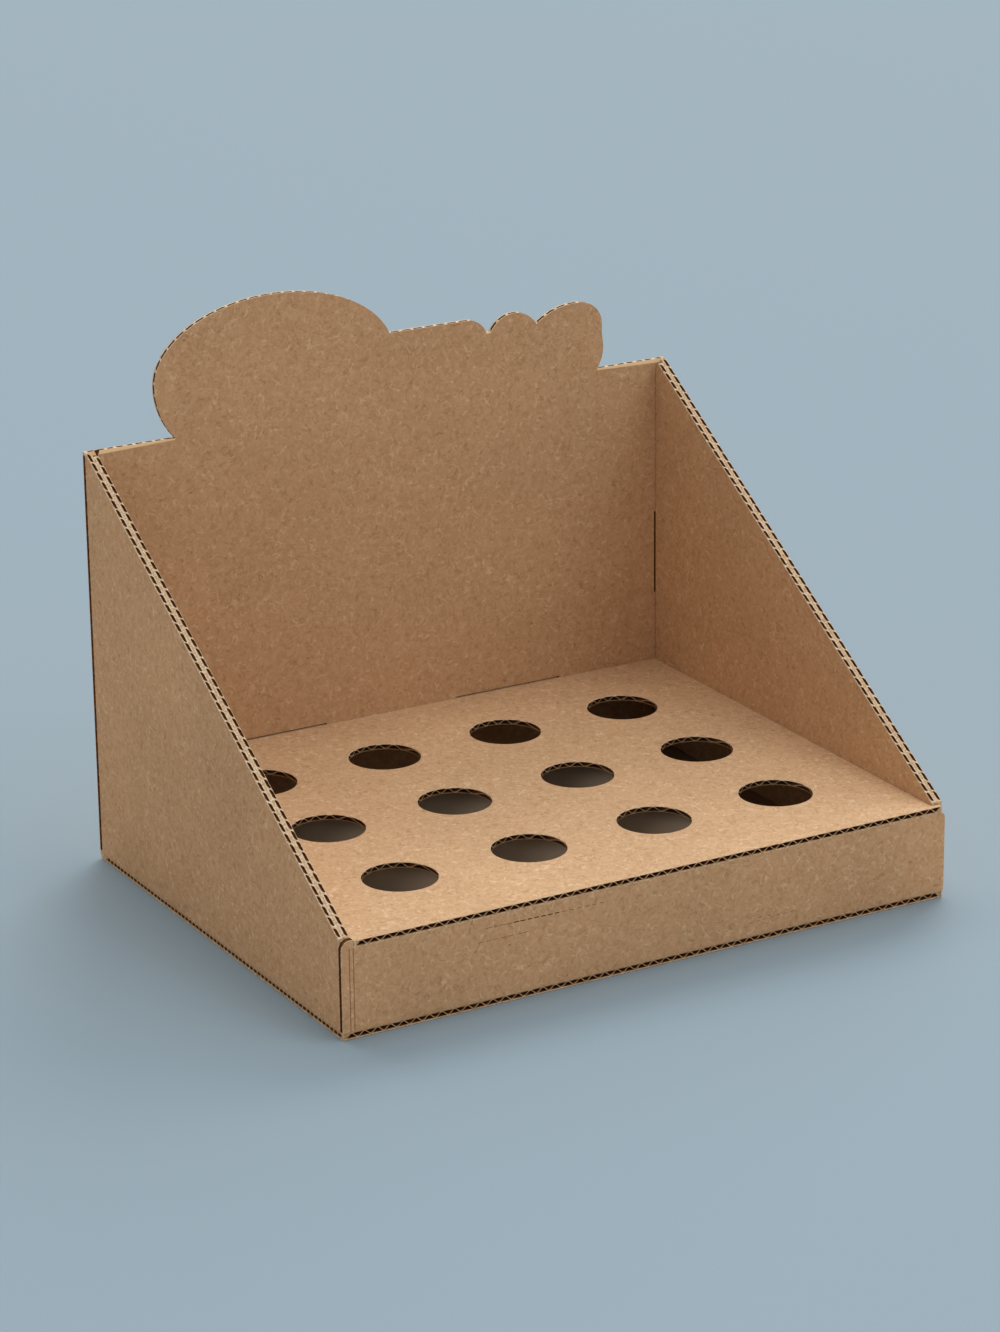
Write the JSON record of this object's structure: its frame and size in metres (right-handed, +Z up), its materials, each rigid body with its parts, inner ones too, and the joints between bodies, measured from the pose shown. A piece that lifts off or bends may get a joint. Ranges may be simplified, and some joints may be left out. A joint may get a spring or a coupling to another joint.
{
  "type": "kraft display box",
  "caption": "Open-front counter display box of corrugated kraft board, with a holed shelf for small bottles, sloping double sides and a die-cut rounded header.",
  "frame": {"origin": "middle of the underside of the base, on the surface that the box stands on", "axes": "+X along the front from left to right, +Y from the front panel to the back, +Z up"},
  "size_m": [0.32, 0.252, 0.268],
  "materials": {
    "back_and_base": "matt",
    "left_outer_side": "matt",
    "right_outer_side": "matt",
    "left_inner_side": "matt",
    "right_inner_side": "matt",
    "front_panel": "matt",
    "holed_shelf": "matt"
  },
  "bodies": {
    "root": {"back_and_base": "back_and_base", "left_outer_side": "left_outer_side", "right_outer_side": "right_outer_side", "left_inner_side": "left_inner_side", "right_inner_side": "right_inner_side", "front_panel": "front_panel", "holed_shelf": "holed_shelf"}
  },
  "joints": []
}
